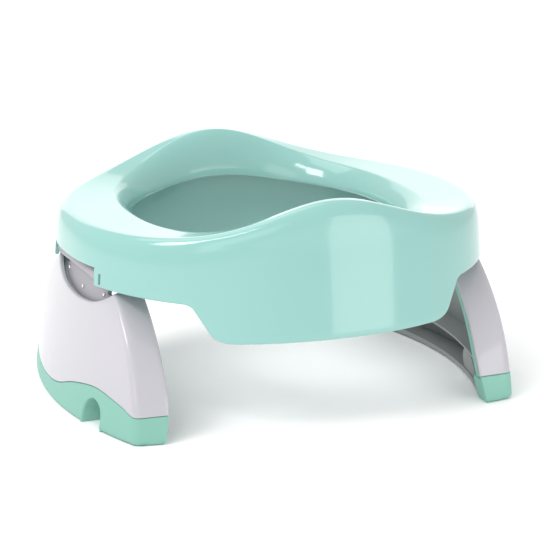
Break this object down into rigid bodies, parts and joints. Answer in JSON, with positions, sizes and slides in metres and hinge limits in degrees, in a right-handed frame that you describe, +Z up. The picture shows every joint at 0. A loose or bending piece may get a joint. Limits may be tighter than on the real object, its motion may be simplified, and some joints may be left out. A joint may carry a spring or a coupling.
{
  "type": "folding potty chair",
  "caption": "Travel potty: an oval seat ring with raised front and back guards, on folding legs with rubber feet that stow under the seat or open flat over a toilet.",
  "frame": {"origin": "on the floor, under the centre of the seat opening", "axes": "+X to the right-hand leg, +Y to the back, +Z up"},
  "size_m": [0.3408, 0.2898, 0.167],
  "materials": {
    "seat_mint": "glossy moulded polypropylene",
    "leg_white": "satin moulded polypropylene",
    "foot_mint": "matt overmoulded soft rubber",
    "inner_grey": "matt moulded plastic",
    "hinge_grey": "matt moulded plastic",
    "rod_steel": "drawn wire",
    "screw_steel": "zinc plated",
    "lock_grey": "matt moulded plastic",
    "spring_steel": "spring wire"
  },
  "bodies": {
    "seat": {"seat_shell": "seat_mint"},
    "right_leg": {"right_leg_shell": "leg_white", "right_rubber_foot": "foot_mint", "right_inner_panel": "inner_grey", "right_front_edge_grip": "foot_mint", "right_back_edge_grip": "foot_mint", "right_hinge_carrier": "hinge_grey", "right_hinge_rod": "rod_steel", "right_shelf_screw_1": "screw_steel", "right_shelf_screw_2": "screw_steel", "right_shelf_screw_3": "screw_steel", "right_lock_spring": "spring_steel"},
    "right_lock": {"right_lock_slide": "lock_grey"},
    "left_leg": {"left_leg_shell": "leg_white", "left_rubber_foot": "foot_mint", "left_inner_panel": "inner_grey", "left_front_edge_grip": "foot_mint", "left_back_edge_grip": "foot_mint", "left_hinge_carrier": "hinge_grey", "left_hinge_rod": "rod_steel", "left_shelf_screw_1": "screw_steel", "left_shelf_screw_2": "screw_steel", "left_shelf_screw_3": "screw_steel", "left_lock_spring": "spring_steel"},
    "left_lock": {"left_lock_slide": "lock_grey"}
  },
  "joints": [
    {"name": "right_leg_hinge", "type": "hinge", "parent": "seat", "child": "right_leg", "pos_m": [0.144, 0, 0.105], "axis": [0, 1, 0], "range_deg": [-90, 90]},
    {"name": "right_lock_slide", "type": "slide", "parent": "right_leg", "child": "right_lock", "axis": [0, 0, 1], "range_m": [0, 0.005], "stiffness_N_per_m": 250, "deforming": ["right_lock_spring"]},
    {"name": "left_leg_hinge", "type": "hinge", "parent": "seat", "child": "left_leg", "pos_m": [-0.144, 0, 0.105], "axis": [0, -1, 0], "range_deg": [-90, 90]},
    {"name": "left_lock_slide", "type": "slide", "parent": "left_leg", "child": "left_lock", "axis": [0, 0, 1], "range_m": [0, 0.005], "stiffness_N_per_m": 250, "deforming": ["left_lock_spring"]}
  ]
}
